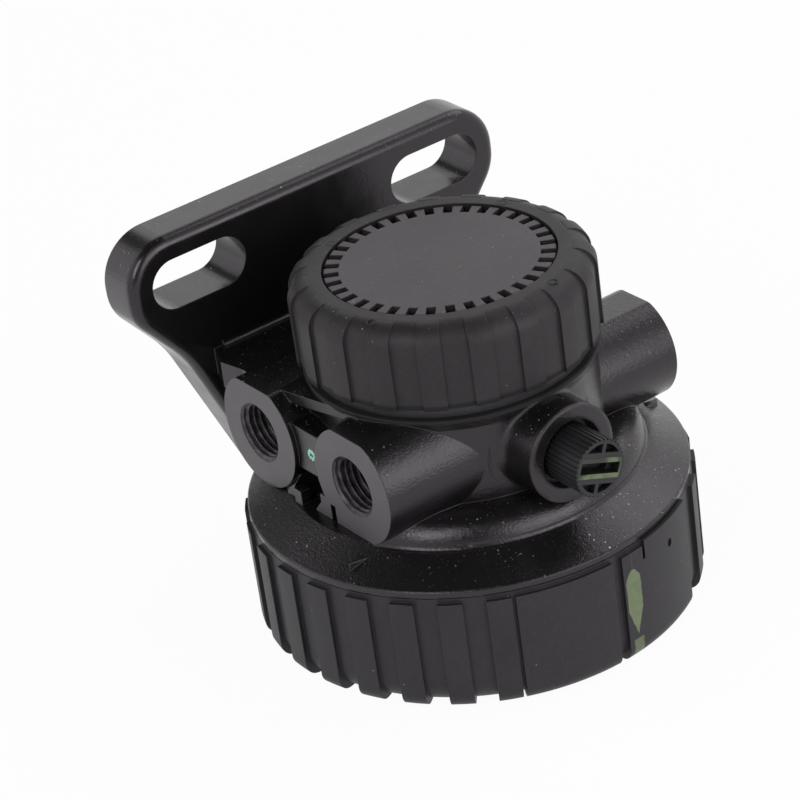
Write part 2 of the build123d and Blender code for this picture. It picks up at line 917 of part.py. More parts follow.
# Piston with its rod, a shoulder and a journal for the knob
with BuildPart() as piston:
    revolve(
        turned(
            (0, piston_z),
            (piston_r, piston_z),
            (piston_r, piston_z + (piston_h - groove_w) / 2),
            (piston_groove_r, piston_z + (piston_h - groove_w) / 2),
            (piston_groove_r, piston_z + (piston_h + groove_w) / 2),
            (piston_r, piston_z + (piston_h + groove_w) / 2),
            (piston_r, piston_z + piston_h),
            (stem_r, piston_z + piston_h),
            (stem_r, floor_z - lift_gap),
            (journal_r, floor_z - lift_gap),
            (journal_r, floor_top + ring_gap),
            (0, floor_top + ring_gap),
        ),
        axis=Axis.Z,
    )
    with Locations((0, 0, floor_top + ring_gap)):
        Hole(knob_screw_r, knob_screw_length + lift_gap)

piston.part.label = "piston"
export_step(piston.part, "parts/piston.step")


# Sealing ring of the piston
with BuildPart() as piston_seal:
    revolve(
        ring_section(barrel_bore_r - seal_gap - seal_wire_r, piston_z + piston_h / 2, seal_wire_r),
        axis=Axis.Z,
    )

piston_seal.part.label = "piston_seal"
export_step(piston_seal.part, "parts/piston_seal.step")


# Primer knob: a hollow cap with grip bars, a floor that turns on the rod and a sleeve with lugs
with BuildPart() as primer_knob:
    with BuildSketch(Plane.XZ):
        with BuildLine():
            Polyline(
                (knob_r - knob_shoulder, knob_top),
                (cover_r + cover_gap, knob_top),
                (cover_r + cover_gap, cover_seat),
                (well_r, cover_seat),
                (well_r, floor_top),
                (journal_r + run_gap, floor_top),
                (journal_r + run_gap, floor_z),
                (sleeve_inner_r, floor_z),
                (sleeve_inner_r, sleeve_z),
                (sleeve_inner_r + sleeve_wall, sleeve_z),
                (sleeve_inner_r + sleeve_wall, floor_z),
                (well_r + sleeve_wall, floor_z + sleeve_wall),
                (well_r + sleeve_wall, knob_top - knob_roof),
                (knob_r - knob_wall, knob_top - knob_roof),
                (knob_r - knob_wall, knob_z),
                (knob_r, knob_z),
                (knob_r, knob_top - knob_shoulder),
            )
            RadiusArc(
                (knob_r, knob_top - knob_shoulder), (knob_r - knob_shoulder, knob_top), -knob_shoulder
            )
        make_face()
    revolve(axis=Axis.Z)
    for k in range(knob_bar_count):
        start = knob_bar_first + k * 360 / knob_bar_count - knob_bar_angle / 2
        revolve(knob_bar_section(start), axis=Axis.Z, revolution_arc=knob_bar_angle)
    for k in range(lug_count):
        middle = (k + 0.5) * 360 / lug_count
        extrude(
            ring_sector(
                Plane.XY.offset(sleeve_z),
                middle - lug_angle / 2,
                middle + lug_angle / 2,
                barrel_r + lug_clearance,
                sleeve_inner_r + sleeve_wall / 2,
            ),
            amount=knob_lug_h,
        )

primer_knob.part.label = "primer_knob"
export_step(primer_knob.part, "parts/primer_knob.step")


# Cover disc in the top of the knob, with a ring of radial slots
with BuildPart() as knob_cover:
    with Locations((0, 0, cover_seat)):
        Cylinder(cover_r, cover_t, align=standing)
    fillet(knob_cover.edges().group_by(Axis.Z)[-1], cover_round)
    with BuildSketch(Plane.XY.offset(cover_seat)):
        with PolarLocations(cover_r, cover_slots, start_angle=cover_slot_first):
            Rectangle(2 * cover_slot_length, cover_slot_w)
    extrude(amount=cover_t, mode=Mode.SUBTRACT)

knob_cover.part.label = "knob_cover"
export_step(knob_cover.part, "parts/knob_cover.step")


# Washer over the floor of the knob
with BuildPart() as knob_washer:
    with Locations((0, 0, washer_z)):
        Cylinder(washer_r, washer_t, align=standing)
        Hole(knob_screw_r + ring_gap)

knob_washer.part.label = "knob_washer"
export_step(knob_washer.part, "parts/knob_washer.step")


# Screw that holds the knob on the rod
with BuildPart() as knob_screw:
    with Locations((0, 0, washer_z + washer_t)):
        Cylinder(knob_screw_head_r, knob_screw_head_h, align=standing)
    fillet(knob_screw.edges().sort_by(Axis.Z)[-1], knob_screw_head_h / 3)
    with BuildSketch(Plane.XY.offset(washer_z + washer_t + knob_screw_head_h)):
        RegularPolygon(knob_socket_r, 6)
    extrude(amount=-knob_socket_depth, mode=Mode.SUBTRACT)
    with Locations((0, 0, washer_z - knob_screw_length)):
        Cylinder(knob_screw_r - seat_gap, knob_screw_length + washer_t, align=standing)

knob_screw.part.label = "knob_screw"
export_step(knob_screw.part, "parts/knob_screw.step")


# Vent knob: a ribbed sleeve with four windows round the head of its screw
with BuildPart() as vent_knob:
    with BuildSketch(vent_front):
        Circle(vent_knob_r - vent_rib)
        with PolarLocations(vent_knob_r - vent_rib, vent_rib_count):
            Rectangle(2 * vent_rib, vent_rib_w)
    extrude(amount=-vent_knob_length)
    with BuildSketch(vent_front):
        Circle(vent_window_r)
        Rectangle(vent_spoke, 2 * vent_window_r, mode=Mode.SUBTRACT)
        Rectangle(2 * vent_window_r, vent_head_w + 2 * vent_bar, mode=Mode.SUBTRACT)
    extrude(amount=-vent_window_depth, mode=Mode.SUBTRACT)
    with BuildSketch(vent_front):
        with BuildSketch(mode=Mode.PRIVATE) as disc:
            Circle(vent_head_r + seat_gap)
        Rectangle(3 * vent_head_r, vent_head_w + 2 * seat_gap)
        add(disc.sketch, mode=Mode.INTERSECT)
    extrude(amount=-vent_head_t, mode=Mode.SUBTRACT)
    drill(
        (0, vent_front_y + vent_head_t, vent_z),
        (0, vent_front_y + vent_knob_length, vent_z),
        vent_stem_r + seat_gap,
    )

vent_knob.part.label = "vent_knob"
export_step(vent_knob.part, "parts/vent_knob.step")


# Vent screw: a slotted head across the vent knob and a stem with a sealing cone
with BuildPart() as vent_stem:
    with BuildSketch(vent_front):
        with BuildSketch(mode=Mode.PRIVATE) as disc:
            Circle(vent_head_r)
        Rectangle(3 * vent_head_r, vent_head_w)
        add(disc.sketch, mode=Mode.INTERSECT)
    extrude(amount=-vent_head_t)
    with BuildSketch(Plane.YZ):
        with BuildLine():
            Polyline(
                (vent_front_y + vent_head_t, vent_z),
                (vent_front_y + vent_head_t, vent_z + vent_stem_r),
                (vent_groove_y, vent_z + vent_stem_r),
                (vent_groove_y, vent_z + vent_groove_r),
                (vent_groove_y + vent_groove_w, vent_z + vent_groove_r),
                (vent_groove_y + vent_groove_w, vent_z + vent_stem_r),
                (vent_tip_y - vent_stem_r + vent_hole_r, vent_z + vent_stem_r),
                (vent_tip_y, vent_z + vent_hole_r),
                (vent_tip_y, vent_z),
                close=True,
            )
        make_face()
    revolve(axis=Axis((0, 0, vent_z), (0, 1, 0)))
    with BuildSketch(vent_front):
        Rectangle(vent_slot_length, vent_slot_w)
    extrude(amount=-vent_slot_depth, mode=Mode.SUBTRACT)

vent_stem.part.label = "vent_stem"
export_step(vent_stem.part, "parts/vent_stem.step")


# Sealing ring of the vent screw
with BuildPart() as vent_seal:
    with BuildSketch(Plane.YZ):
        with Locations((vent_groove_y + vent_groove_w / 2, vent_z + vent_seal_r)):
            Circle(vent_seal_wire_r)
    revolve(axis=Axis((0, 0, vent_z), (0, 1, 0)))

vent_seal.part.label = "vent_seal"
export_step(vent_seal.part, "parts/vent_seal.step")


# Locking collar: a turning ring with grip bars outside and an inner lip with three gaps
with BuildPart() as locking_collar:
    with BuildSketch(Plane.XZ):
        with BuildLine():
            Polyline(
                (collar_r - collar_foot_round, 0),
                (collar_lip_r, 0),
                (collar_lip_r, collar_lip_h),
                (collar_bore_r, collar_lip_h),
                (collar_bore_r, collar_top),
                (collar_r, collar_top),
                (collar_r, collar_foot_round),
            )
            RadiusArc(
                (collar_r, collar_foot_round), (collar_r - collar_foot_round, 0), collar_foot_round
            )
        make_face()
    revolve(axis=Axis.Z)
    for k in range(collar_bar_count):
        collar_bar_at(collar_bar_first + k * collar_bar_pitch, collar_bar_angle, bar_top)
    collar_bar_at(panel_a_middle, panel_a_angle, bar_top)
    # Second panel, with a low tab behind a slit at its end and an oval recess
    for start, end, top in (
        (panel_b_start, panel_b_end, slit_z),
        (panel_b_start, slit_start, bar_top),
        (slit_start + slit_angle, panel_b_end, collar_top),
    ):
        collar_bar_at((start + end) / 2, end - start, top)
    outward = Vector(1, 0, 0).rotate(Axis.Z, mark_angle)
    with BuildSketch(
        Plane(
            origin=outward * bar_r + Vector(0, 0, mark_z),
            x_dir=outward.rotate(Axis.Z, 90),
            z_dir=outward,
        )
    ):
        Ellipse(mark_w / 2, mark_h / 2)
    extrude(amount=-mark_depth, mode=Mode.SUBTRACT)
    # Groove for the wire ring, and the gaps that the canister's ears pass through
    with BuildSketch(Plane.XZ):
        with Locations((collar_bore_r, wire_z)):
            Rectangle(2 * collar_groove_depth, 2 * (wire_r + lift_gap))
    revolve(axis=Axis.Z, mode=Mode.SUBTRACT)
    for k in range(collar_gap_count):
        middle = collar_gap_first + k * 360 / collar_gap_count
        extrude(
            ring_sector(
                Plane.XY,
                middle - collar_gap_angle / 2,
                middle + collar_gap_angle / 2,
                collar_lip_r - collar_bar,
                collar_bore_r - collar_bar,
            ),
            amount=collar_lip_h,
            mode=Mode.SUBTRACT,
        )

locking_collar.part.label = "locking_collar"
export_step(locking_collar.part, "parts/locking_collar.step")


# Split wire ring that holds the collar on the skirt
with BuildPart() as collar_ring:
    revolve(
        ring_section(skirt_r - wire_depth + ring_gap + wire_r, wire_z, wire_r),
        axis=Axis.Z,
        revolution_arc=360 - wire_split_angle,
    )

collar_ring.part.label = "collar_ring"
export_step(collar_ring.part, "parts/collar_ring.step")


# Ring seal that the rim of the canister presses on
with BuildPart() as filter_seal:
    with Locations((0, 0, recess_z + seal_groove_depth - seal_h)):
        Cylinder(seal_r + seal_w / 2, seal_h, align=standing)
        Cylinder(seal_r - seal_w / 2, seal_h, align=standing, mode=Mode.SUBTRACT)

filter_seal.part.label = "filter_seal"
export_step(filter_seal.part, "parts/filter_seal.step")


# Centre tube with a stop flange and a seal groove
with BuildPart() as filter_spud:
    revolve(
        turned(
            (spud_bore_r, spud_foot),
            (spud_r - edge_round, spud_foot),
            (spud_r, spud_foot + edge_round),
            (spud_r, spud_groove_z),
            (spud_r - spud_groove_depth, spud_groove_z),
            (spud_r - spud_groove_depth, spud_groove_z + groove_w),
            (spud_r, spud_groove_z + groove_w),
            (spud_r, boss_foot_z - spud_flange_t),
            (spud_flange_r, boss_foot_z - spud_flange_t),
            (spud_flange_r, boss_foot_z),
            (spud_r, boss_foot_z),
            (spud_r, boss_foot_z + spud_seat_h),
            (spud_bore_r, boss_foot_z + spud_seat_h),
        ),
        axis=Axis.Z,
    )

filter_spud.part.label = "filter_spud"
export_step(filter_spud.part, "parts/filter_spud.step")


# Sealing ring of the centre tube
with BuildPart() as spud_seal:
    revolve(
        ring_section(
            spud_r - spud_groove_depth + seal_gap + spud_seal_wire_r,
            spud_groove_z + groove_w / 2,
            spud_seal_wire_r,
        ),
        axis=Axis.Z,
    )

spud_seal.part.label = "spud_seal"
export_step(spud_seal.part, "parts/spud_seal.step")
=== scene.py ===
"""Looks of the fuel priming pump, a diesel filter head with a primer knob and a locking collar.

Run as a script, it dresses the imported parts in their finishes, adds the port threads and the small
moulding marks, and sets up the floor, the lamps and the camera. The meshes, the property groups and
the table of lamps are in metres. The other constants and the materials are in millimetres, with
turns in degrees.
"""

import json
import math

import bpy
import numpy as np
from bpy.props import FloatProperty, FloatVectorProperty, IntProperty, PointerProperty
from bpy.types import Operator, Panel, PropertyGroup
from mathutils import Matrix, Vector


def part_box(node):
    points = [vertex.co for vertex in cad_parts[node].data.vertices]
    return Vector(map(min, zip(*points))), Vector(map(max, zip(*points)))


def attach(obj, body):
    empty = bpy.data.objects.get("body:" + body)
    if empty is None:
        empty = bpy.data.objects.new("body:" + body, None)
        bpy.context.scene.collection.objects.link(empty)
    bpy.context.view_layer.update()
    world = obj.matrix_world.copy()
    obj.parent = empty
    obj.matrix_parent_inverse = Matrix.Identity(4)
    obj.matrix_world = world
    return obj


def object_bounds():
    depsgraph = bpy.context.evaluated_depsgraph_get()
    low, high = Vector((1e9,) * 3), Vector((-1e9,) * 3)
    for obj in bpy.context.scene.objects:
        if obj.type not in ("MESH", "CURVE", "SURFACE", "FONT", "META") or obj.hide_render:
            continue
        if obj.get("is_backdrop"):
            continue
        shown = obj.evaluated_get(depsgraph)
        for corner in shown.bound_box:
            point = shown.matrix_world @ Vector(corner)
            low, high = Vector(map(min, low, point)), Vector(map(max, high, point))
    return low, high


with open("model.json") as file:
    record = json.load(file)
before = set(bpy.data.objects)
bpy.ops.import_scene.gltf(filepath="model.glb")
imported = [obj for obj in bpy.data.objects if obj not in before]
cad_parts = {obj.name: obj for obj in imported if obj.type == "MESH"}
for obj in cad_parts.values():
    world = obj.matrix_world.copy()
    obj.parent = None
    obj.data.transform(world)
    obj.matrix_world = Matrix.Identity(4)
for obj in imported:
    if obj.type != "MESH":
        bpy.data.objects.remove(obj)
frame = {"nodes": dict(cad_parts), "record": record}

bl_info = {
    "name": "Fuel priming pump looks",
    "version": (1, 0, 0),
    "blender": (4, 5, 0),
    "location": "View3D > Sidebar > Priming Pump",
    "description": "Finishes, port threads, moulding marks and studio for the fuel priming pump",
    "category": "Object",
}

MM = 0.001

# Dirt and wear, and painted light and shade, that lie over the colours of the settings
WHITE_DUST = (0.78, 0.76, 0.76)
GREY_DUST = (0.50, 0.49, 0.48)
# Painted shade for the gap between the knob and the neck: on the neck's rim and the foot of the
# knob's skirt
KNOB_GAP_SHADE = (0.003, 0.003, 0.003)
# Lighter coat on the casting's edges: partly wear, partly painted highlight
COAT_EDGE_WEAR_AND_HIGHLIGHT = (0.040, 0.037, 0.040)
# Paler green on the vent head's edges: partly wear, partly painted highlight
GREEN_EDGE_WEAR_AND_HIGHLIGHT = (0.22, 0.27, 0.17)
GREEN_GRIME = (0.03, 0.04, 0.025)
# Darkening on the vent head's upper rail and its ends
RAIL_DARKENING = (0.012, 0.013, 0.011)
# Painted shade deep in the vent screw's slot
SLOT_DEPTH_SHADE = (0.004, 0.005, 0.004)
RUBBER_BLOOM = (0.035, 0.034, 0.032)

# Places on the casting
LEFT_FACES_X, LEFT_FACES_Z = -37.4, 34.5  # turned faces of the left ports, and their foot
RIGHT_FACE_X = 44.9  # turned face of the right port
FRONT_PORT_Y, REAR_PORT_Y, PORTS_Z = -10.5, 24.5, 47.0  # axes of the left ports
BETWEEN_PORTS_Y = 7.0
VENT_BOSS_Y, VENT_BOSS_Z = -29.0, 41.6  # the vent's boss lies in front of and above these
BLASTED_Y, SMOOTH_Y = 36.0, 42.0  # rough coat up to the first, smooth from the second back
DUSTY_FRONT = (16.0, -44.0, 40.0)
DUSTY_BOSS = (-16.0, -14.0, 60.0)
PAINT_MARK, PAINT_MARK_R = (-36.3, 6.0, 48.0), 0.95
NECK_RIM_Z, NECK_RIM_R = 60.7, 35.5  # the neck's rim lies above and inside these

# Places on the vent screw's head: foot of its upper rail, where that rail's lighter right end
# begins, its own ends
RAIL_Z, RAIL_LIGHT_END_X, HEAD_END_X = 49.5, 3.0, 4.6

# How high the painted shade of the gap over the neck reaches on the knob's skirt
KNOB_GAP_SHADE_HEIGHT = 1.5

# Green mark on the collar: turn of its middle, half widths, heights, inner limit of the paint
GREEN_MARK_TURN, GREEN_MARK_HALF = -85.1, 2.4
GREEN_MARK_FOOT, GREEN_MARK_TOP = 6.5, 23.1
GREEN_DAB_HALF, GREEN_DAB_TOP = 1.7, 5.6
GREEN_MARK_R = 48.0

# Radius at which the dust on upright sides is unrolled
DUST_WRAP_R = 42.0

# Moulding marks on the knob: turn about its axis and distance from it
KNOB_MARKS = ((115.3, 27.0), (-156.2, 30.0), (-72.7, 29.5), (21.2, 27.3))

# A 60 degree internal thread, in pitches: its depth, and half of its crest's flat
THREAD_DEPTH = 0.5413
THREAD_HALF_FLAT = 1 / 8
THREAD_FLANK = math.tan(math.radians(60))

# Soft boxes: name, setting with the power, width, height, distance, turn and rise
LAMPS = (
    ("lamp_front", "front", 0.75, 0.95, 1.30, -88, 16),
    ("lamp_front_right", "front_right", 0.36, 0.85, 1.35, -66, 11),
    ("lamp_right", "side", 0.90, 0.90, 1.50, 0, 50),
    ("lamp_left", "left", 0.37, 0.75, 1.40, -152, 33),
)

# Sides of the studio: turn, outer and inner half width, brightness
ROOM_SIDES = (
    (-128, 26, 13, 0.15),
    (91, 18, 9, 0.22),
    (56, 34, 20, 1.30),
    (130, 34, 20, 1.30),
)
# Ceiling of the studio: height on the unit sphere where it begins and is full, brightness
CEILING_START, CEILING_FULL, CEILING_LIGHT = 0.64, 0.87, 0.06

FLOOR_CORNERS = 96
FLOOR_GLOW = 0.95  # how far the floor is plain white to the camera and to gloss
SENSOR_WIDTH = 36.0
CLIP_START, CLIP_END = 0.05, 20.0  # metres

# Sockets of the mix node by type: first value, second value, result
MIX_SOCKETS = {"FLOAT": (2, 3, 0), "VECTOR": (4, 5, 1), "RGBA": (6, 7, 2)}


def length_property(name, description, default):
    """A length in metres."""
    return FloatProperty(
        name=name, description=description, default=default, min=0, unit="LENGTH", precision=5
    )


def colour_property(name, description, default):
    """A linear colour."""
    return FloatVectorProperty(
        name=name, description=description, default=default, size=3, min=0, max=1, subtype="COLOR"
    )


def share_property(name, description, default):
    """A share from nothing to all."""
    return FloatProperty(
        name=name, description=description, default=default, min=0, max=1, subtype="FACTOR"
    )


def power_property(name, description, default):
    """The power of a lamp in watts."""
    return FloatProperty(name=name, description=description, default=default, min=0, unit="POWER")


def direction_property(name, description, default):
    """A direction in the scene."""
    return FloatVectorProperty(
        name=name, description=description, default=default, size=3, subtype="DIRECTION"
    )


class FinishSettings(PropertyGroup):
    """Colours and gloss of the materials."""

    coating: colour_property("Coating", "Black coating of the casting", (0.0058, 0.0054, 0.0058))
    coating_roughness: share_property("Coating roughness", "Gloss of the coating", 0.21)
    peel_size: length_property("Orange peel", "Width of the ripples in the coating", 1.2 * MM)
    machined: colour_property("Machined", "Turned port faces, thinly coated", (0.070, 0.064, 0.070))
    knob: colour_property("Knob", "Charcoal plastic of the knob", (0.0125, 0.0116, 0.0122))
    cover: colour_property("Cover", "Charcoal plastic of its cover", (0.0260, 0.0226, 0.0258))
    collar: colour_property("Collar", "Charcoal plastic of the collar", (0.0130, 0.0122, 0.0138))
    collar_green: colour_property("Green mark", "Green mark on the collar", (0.120, 0.155, 0.080))
    vent: colour_property("Vent plastic", "Black plastic of the vent screw", (0.010, 0.010, 0.011))
    vent_green: colour_property("Vent head", "Green head of the vent screw", (0.085, 0.118, 0.058))
    paint_dot: colour_property("Paint dot", "Inspection dot on the casting", (0.30, 0.62, 0.47))
    inner: colour_property("Inner plastic", "Dark plastic of the pump", (0.022, 0.022, 0.024))
    rubber: colour_property("Rubber", "Nitrile rubber of the seals", (0.012, 0.012, 0.013))
    acetal: colour_property("Acetal", "White acetal of the piston", (0.72, 0.70, 0.64))
    steel: colour_property("Steel", "Zinc plated steel", (0.60, 0.60, 0.62))
    dust: share_property("Dust", "How much white dust lies on the casting", 1.0)


class ThreadSettings(PropertyGroup):
    """Threads of the three ports."""

    pitch: length_property("Pitch", "Rise of the thread in one turn", 1.5 * MM)
    wall: length_property("Wall", "Metal left behind the root of the thread", 0.03 * MM)
    clearance: length_property("Clearance", "Between the thread piece and its bore", 0.01 * MM)
    step: length_property("Step", "Height of one row of faces", 0.09 * MM)
    around: IntProperty(name="Faces around", description="Faces in one turn", default=128, min=24)


class MarkSettings(PropertyGroup):
    """Round moulding marks on the top of the knob."""

    radius: length_property("Mark radius", "Middle radius of a ring mark", 1.05 * MM)
    wire: length_property("Mark wire", "Radius of the raised line", 0.14 * MM)
    sink: length_property("Sink", "How deep the line's middle lies under the face", 0.05 * MM)


class StageSettings(PropertyGroup):
    """Camera, floor and lamps."""

    lens: FloatProperty(
        name="Lens", description="Focal length", default=144.2, min=10, unit="CAMERA"
    )
    eye: FloatVectorProperty(
        name="Eye",
        description="Place of the camera",
        default=(-349.2 * MM, -511.9 * MM, 398.1 * MM),
        size=3,
        subtype="TRANSLATION",
        unit="LENGTH",
    )
    right: direction_property("Right", "To the right of the picture", (0.7908, -0.5993, -0.1245))
    up: direction_property("Up", "To the top of the picture", (0.3844, 0.3280, 0.8630))
    floor_radius: length_property("Floor", "Radius of the round floor", 2.5)
    floor: colour_property("Floor colour", "Colour of the floor", (0.86, 0.86, 0.86))
    front: power_property("Front", "Power of the lamp in front", 4.4)
    front_right: power_property("Front right", "Power of the narrow lamp in front", 2.8)
    side: power_property("Side", "Power of the right lamp", 4.2)
    left: power_property("Left", "Power of the left lamp", 5.6)


# Meshes


def closed_grid(name, points):
    """A mesh over a grid of points. Neighbours in u and v make one face, and both last rows join
    their first ones, so that the grid is a closed ring like a torus."""
    rows, columns = points.shape[:2]
    u = np.arange(rows)[:, None]
    v = np.arange(columns)[None, :]
    nu, nv = (u + 1) % rows, (v + 1) % columns
    quads = np.stack(
        [u * columns + v, nu * columns + v, nu * columns + nv, u * columns + nv], axis=-1
    ).reshape(-1, 4)
    mesh = bpy.data.meshes.new(name)
    mesh.vertices.add(rows * columns)
    mesh.vertices.foreach_set("co", points.reshape(-1).astype(np.float32))
    mesh.loops.add(quads.size)
    mesh.loops.foreach_set("vertex_index", quads.reshape(-1).astype(np.int32))
    mesh.polygons.add(len(quads))
    mesh.polygons.foreach_set("loop_start", np.arange(0, quads.size, 4, dtype=np.int32))
    mesh.polygons.foreach_set("use_smooth", np.ones(len(quads), dtype=bool))
    mesh.update(calc_edges=True)
    mesh.validate()
    return mesh


def place(name, mesh, material, body, slot):
    """Puts a mesh in the scene as a piece of the object, riding on its body."""
    piece = bpy.data.objects.new(name, mesh)
    bpy.context.scene.collection.objects.link(piece)
    piece.data.materials.append(material)
    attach(piece, body)


def thread_points(start, axis, root, length, settings):
    """Liner of a tapped hole. The inner wall at depth d and angle a has the radius of a 60 degree
    thread whose crest climbs one pitch per turn: radius = crest plus the flank's height at the
    distance of d from the nearest crest line, d - pitch * a / turn, and no more than the root. A 45
    degree lead opens it at the mouth, and the thread runs out to its crest at the far end. The
    section returns along the outer wall."""
    pitch = settings.pitch
    crest = root - THREAD_DEPTH * pitch
    rows = int(length / settings.step)
    depth = np.linspace(0, length, rows)[None, :]
    angle = np.linspace(0, 2 * math.pi, settings.around, endpoint=False)[:, None]
    phase = (depth / pitch - angle / (2 * math.pi)) % 1.0
    past_flat = (np.abs(phase - 0.5) - THREAD_HALF_FLAT) * pitch
    radius = np.clip(crest + past_flat * THREAD_FLANK, crest, root)
    lead = root - depth
    run_out = crest + np.clip(length - pitch - depth, 0, root - crest)
    radius = np.minimum(np.maximum(radius, lead), run_out)
    outer = root + settings.wall
    outer_depth = np.linspace(length, 0, 3)[None, :]
    depths = np.concatenate([depth + 0 * angle, outer_depth + 0 * angle], axis=1)
    radii = np.concatenate([radius, outer + 0 * outer_depth + 0 * angle], axis=1)
    into = -np.array(axis, float)
    side = np.cross(into, (0.0, 0.0, 1.0))
    side /= np.linalg.norm(side)
    up = np.cross(side, into)
    around = np.cos(angle)[..., None] * side + np.sin(angle)[..., None] * up
    return np.array(start) + depths[..., None] * into + radii[..., None] * around


def ring_mark_points(centre, radius, wire, count=28, section=8):
    """A torus lying flat: at angle a round the ring and b round the wire, the distance from the
    ring's middle is radius + wire * cos b and the height is wire * sin b."""
    a = np.linspace(0, 2 * math.pi, count, endpoint=False)[:, None]
    b = np.linspace(0, 2 * math.pi, section, endpoint=False)[None, :]
    reach = radius + wire * np.cos(b)
    flat = np.stack([reach * np.cos(a), reach * np.sin(a), wire * np.sin(b) + 0 * a], axis=-1)
    return flat + np.array(centre)


# Material nodes


class NodeChain:
    """Adds nodes to a tree and joins them up. Any value may be a number, a colour or a socket."""

    def __init__(self, tree):
        self.tree = tree

    def add(self, kind, settings=(), **inputs):
        """A node with its settings and inputs, whose names have an underscore for each space."""
        node = self.tree.nodes.new(kind)
        for key, value in dict(settings).items():
            setattr(node, key, value)
        for key, value in inputs.items():
            self.join(node.inputs[key.replace("_", " ")], value)
        return node

    def join(self, socket, value):
        """Links a socket to the input, or writes a plain value into it."""
        if isinstance(value, bpy.types.NodeSocket):
            self.tree.links.new(value, socket)
        else:
            socket.default_value = value

    def maths(self, operation, a, b=0.0):
        """The result of one sum on numbers."""
        node = self.add("ShaderNodeMath", {"operation": operation})
        self.join(node.inputs[0], a)
        self.join(node.inputs[1], b)
        return node.outputs[0]

    def vector(self, operation, a, b=None):
        """The result of one sum on vectors. For SCALE, b is a number."""
        node = self.add("ShaderNodeVectorMath", {"operation": operation})
        self.join(node.inputs[0], a)
        if b is not None:
            self.join(node.inputs["Scale" if operation == "SCALE" else 1], b)
        gives_number = operation in ("LENGTH", "DISTANCE", "DOT_PRODUCT")
        return node.outputs["Value" if gives_number else "Vector"]

    def ramp(self, value, low, high, start=0.0, end=1.0, smooth=True):
        """Maps low to start and high to end, and holds both ends."""
        kind = "SMOOTHSTEP" if smooth else "LINEAR"
        node = self.add(
            "ShaderNodeMapRange", {"clamp": True, "interpolation_type": kind},
            Value=value, From_Min=low, From_Max=high, To_Min=start, To_Max=end,
        )
        return node.outputs[0]

    def past(self, value, edge, width):
        """Nothing up to an edge, all from that width past it. A negative width looks downwards."""
        return self.ramp(value, edge, edge + width)

    def chain(self, operation, values):
        """One sum carried on over several numbers."""
        result = values[0]
        for value in values[1:]:
            result = self.maths(operation, result, value)
        return result

    def most(self, *values):
        """The largest of some numbers."""
        return self.chain("MAXIMUM", values)

    def times(self, *values):
        """The product of some numbers."""
        return self.chain("MULTIPLY", values)

    def plus(self, *values):
        """The sum of some numbers."""
        return self.chain("ADD", values)

    def less(self, a, b):
        """Number a less number b."""
        return self.maths("SUBTRACT", a, b)

    def mix(self, kind, share, a, b):
        """Value a where share is nothing, b where it is all: numbers, vectors or colours."""
        node = self.add("ShaderNodeMix", {"data_type": kind})
        first, second, result = MIX_SOCKETS[kind]
        for index, value in ((0, share), (first, a), (second, b)):
            self.join(node.inputs[index], value)
        return node.outputs[result]

    def mix_shaders(self, share, a, b):
        """Shader a where share is nothing, b where it is all."""
        node = self.add("ShaderNodeMixShader")
        for socket, value in zip(node.inputs, (share, a, b)):
            self.join(socket, value)
        return node.outputs[0]


